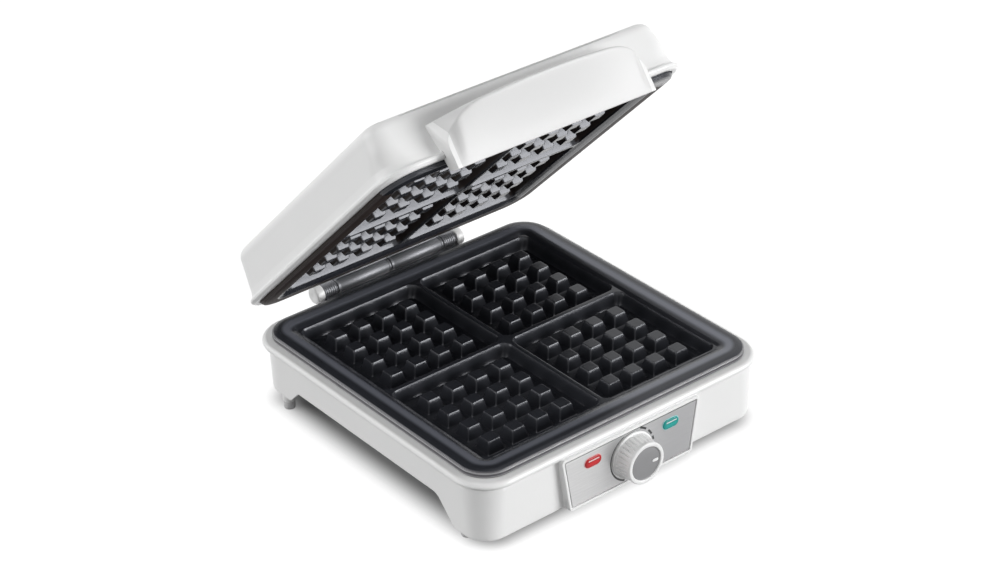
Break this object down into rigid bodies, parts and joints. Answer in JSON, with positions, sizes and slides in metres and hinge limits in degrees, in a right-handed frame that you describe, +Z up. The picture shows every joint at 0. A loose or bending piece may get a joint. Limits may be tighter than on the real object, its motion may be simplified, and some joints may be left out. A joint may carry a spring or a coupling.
{
  "type": "belgian waffle maker",
  "caption": "White electric waffle maker with a hinged lid, deep square-peg plates, front handle, dial and indicator lenses, standing on rubber feet.",
  "frame": {"origin": "centre of the flat underside of the bottom cover, 13.5 mm above the table that the feet stand on", "axes": "+Z up, -Y towards the user with the dial and the handle, +X to the user's right"},
  "size_m": [0.301, 0.3532, 0.3326],
  "materials": {
    "white_plastic": "glossy moulded white",
    "cover_plastic": "matt light grey moulding",
    "foot_rubber": "matt light grey rubber",
    "non_stick": "cast with a dark grey non-stick coating",
    "panel_steel": "brushed along its length, with plain marks printed round the dial",
    "sheet_metal": "pressed sheet",
    "heater_steel": "dull sheath of a tube heater",
    "screw_steel": "zinc-plated",
    "hinge_metal": "dark satin coating",
    "disc_grey": "satin grey disc",
    "red_lens": "clear red moulding",
    "teal_lens": "clear green-blue moulding",
    "bakelite": "heat-resistant moulding",
    "lead_sleeve": "silicone-covered lead"
  },
  "bodies": {
    "base": {"base_casing": "white_plastic", "bottom_cover": "cover_plastic", "rubber_foot_front_left": "foot_rubber", "rubber_foot_front_right": "foot_rubber", "rubber_foot_rear_left": "foot_rubber", "rubber_foot_rear_right": "foot_rubber", "cover_screw_front_left": "screw_steel", "cover_screw_front_right": "screw_steel", "cover_screw_rear_left": "screw_steel", "cover_screw_rear_right": "screw_steel", "panel_bezel": "white_plastic", "control_panel": "panel_steel", "heating_lens": "red_lens", "ready_lens": "teal_lens", "heating_lamp": "bakelite", "ready_lamp": "bakelite", "thermostat": "screw_steel", "thermostat_nut": "screw_steel", "terminal_block": "bakelite", "supply_lead": "lead_sleeve", "heater_lead": "lead_sleeve", "return_lead": "lead_sleeve", "cord_gland": "bakelite", "hinge_base_leaf": "hinge_metal", "hinge_base_screw_left": "screw_steel", "hinge_base_screw_right": "screw_steel", "hinge_pin": "screw_steel", "hinge_cap_left": "white_plastic", "hinge_cap_right": "white_plastic", "lower_waffle_plate": "non_stick", "lower_plate_screw_front_left": "screw_steel", "lower_plate_screw_front_right": "screw_steel", "lower_plate_screw_rear_left": "screw_steel", "lower_plate_screw_rear_right": "screw_steel", "lower_heating_element": "heater_steel", "lower_heat_shield": "sheet_metal", "lower_shield_screw": "screw_steel", "thermal_fuse": "screw_steel"},
    "knob": {"knob_skirt": "white_plastic", "knob_disc": "disc_grey", "knob_pointer": "white_plastic", "thermostat_shaft": "screw_steel"},
    "lid": {"lid_casing": "white_plastic", "lid_handle": "white_plastic", "handle_screw_left": "screw_steel", "handle_screw_right": "screw_steel", "upper_waffle_plate": "non_stick", "upper_plate_screw_front_left": "screw_steel", "upper_plate_screw_front_right": "screw_steel", "upper_plate_screw_rear_left": "screw_steel", "upper_plate_screw_rear_right": "screw_steel", "upper_heating_element": "heater_steel", "upper_heat_shield": "sheet_metal", "upper_shield_screw": "screw_steel", "lid_lead_left": "lead_sleeve", "lid_lead_right": "lead_sleeve", "hinge_lid_leaf": "hinge_metal", "hinge_lid_screw_left": "screw_steel", "hinge_lid_screw_right": "screw_steel"}
  },
  "joints": [
    {"name": "lid_hinge", "type": "hinge", "parent": "base", "child": "lid", "pos_m": [0, 0.1594, 0.0514], "axis": [-1, 0, 0], "range_deg": [-44.65, 55.35]},
    {"name": "knob_turn", "type": "hinge", "parent": "base", "child": "knob", "pos_m": [0, -0.154, 0.018], "axis": [0, -1, 0], "range_deg": [0, 250]}
  ]
}
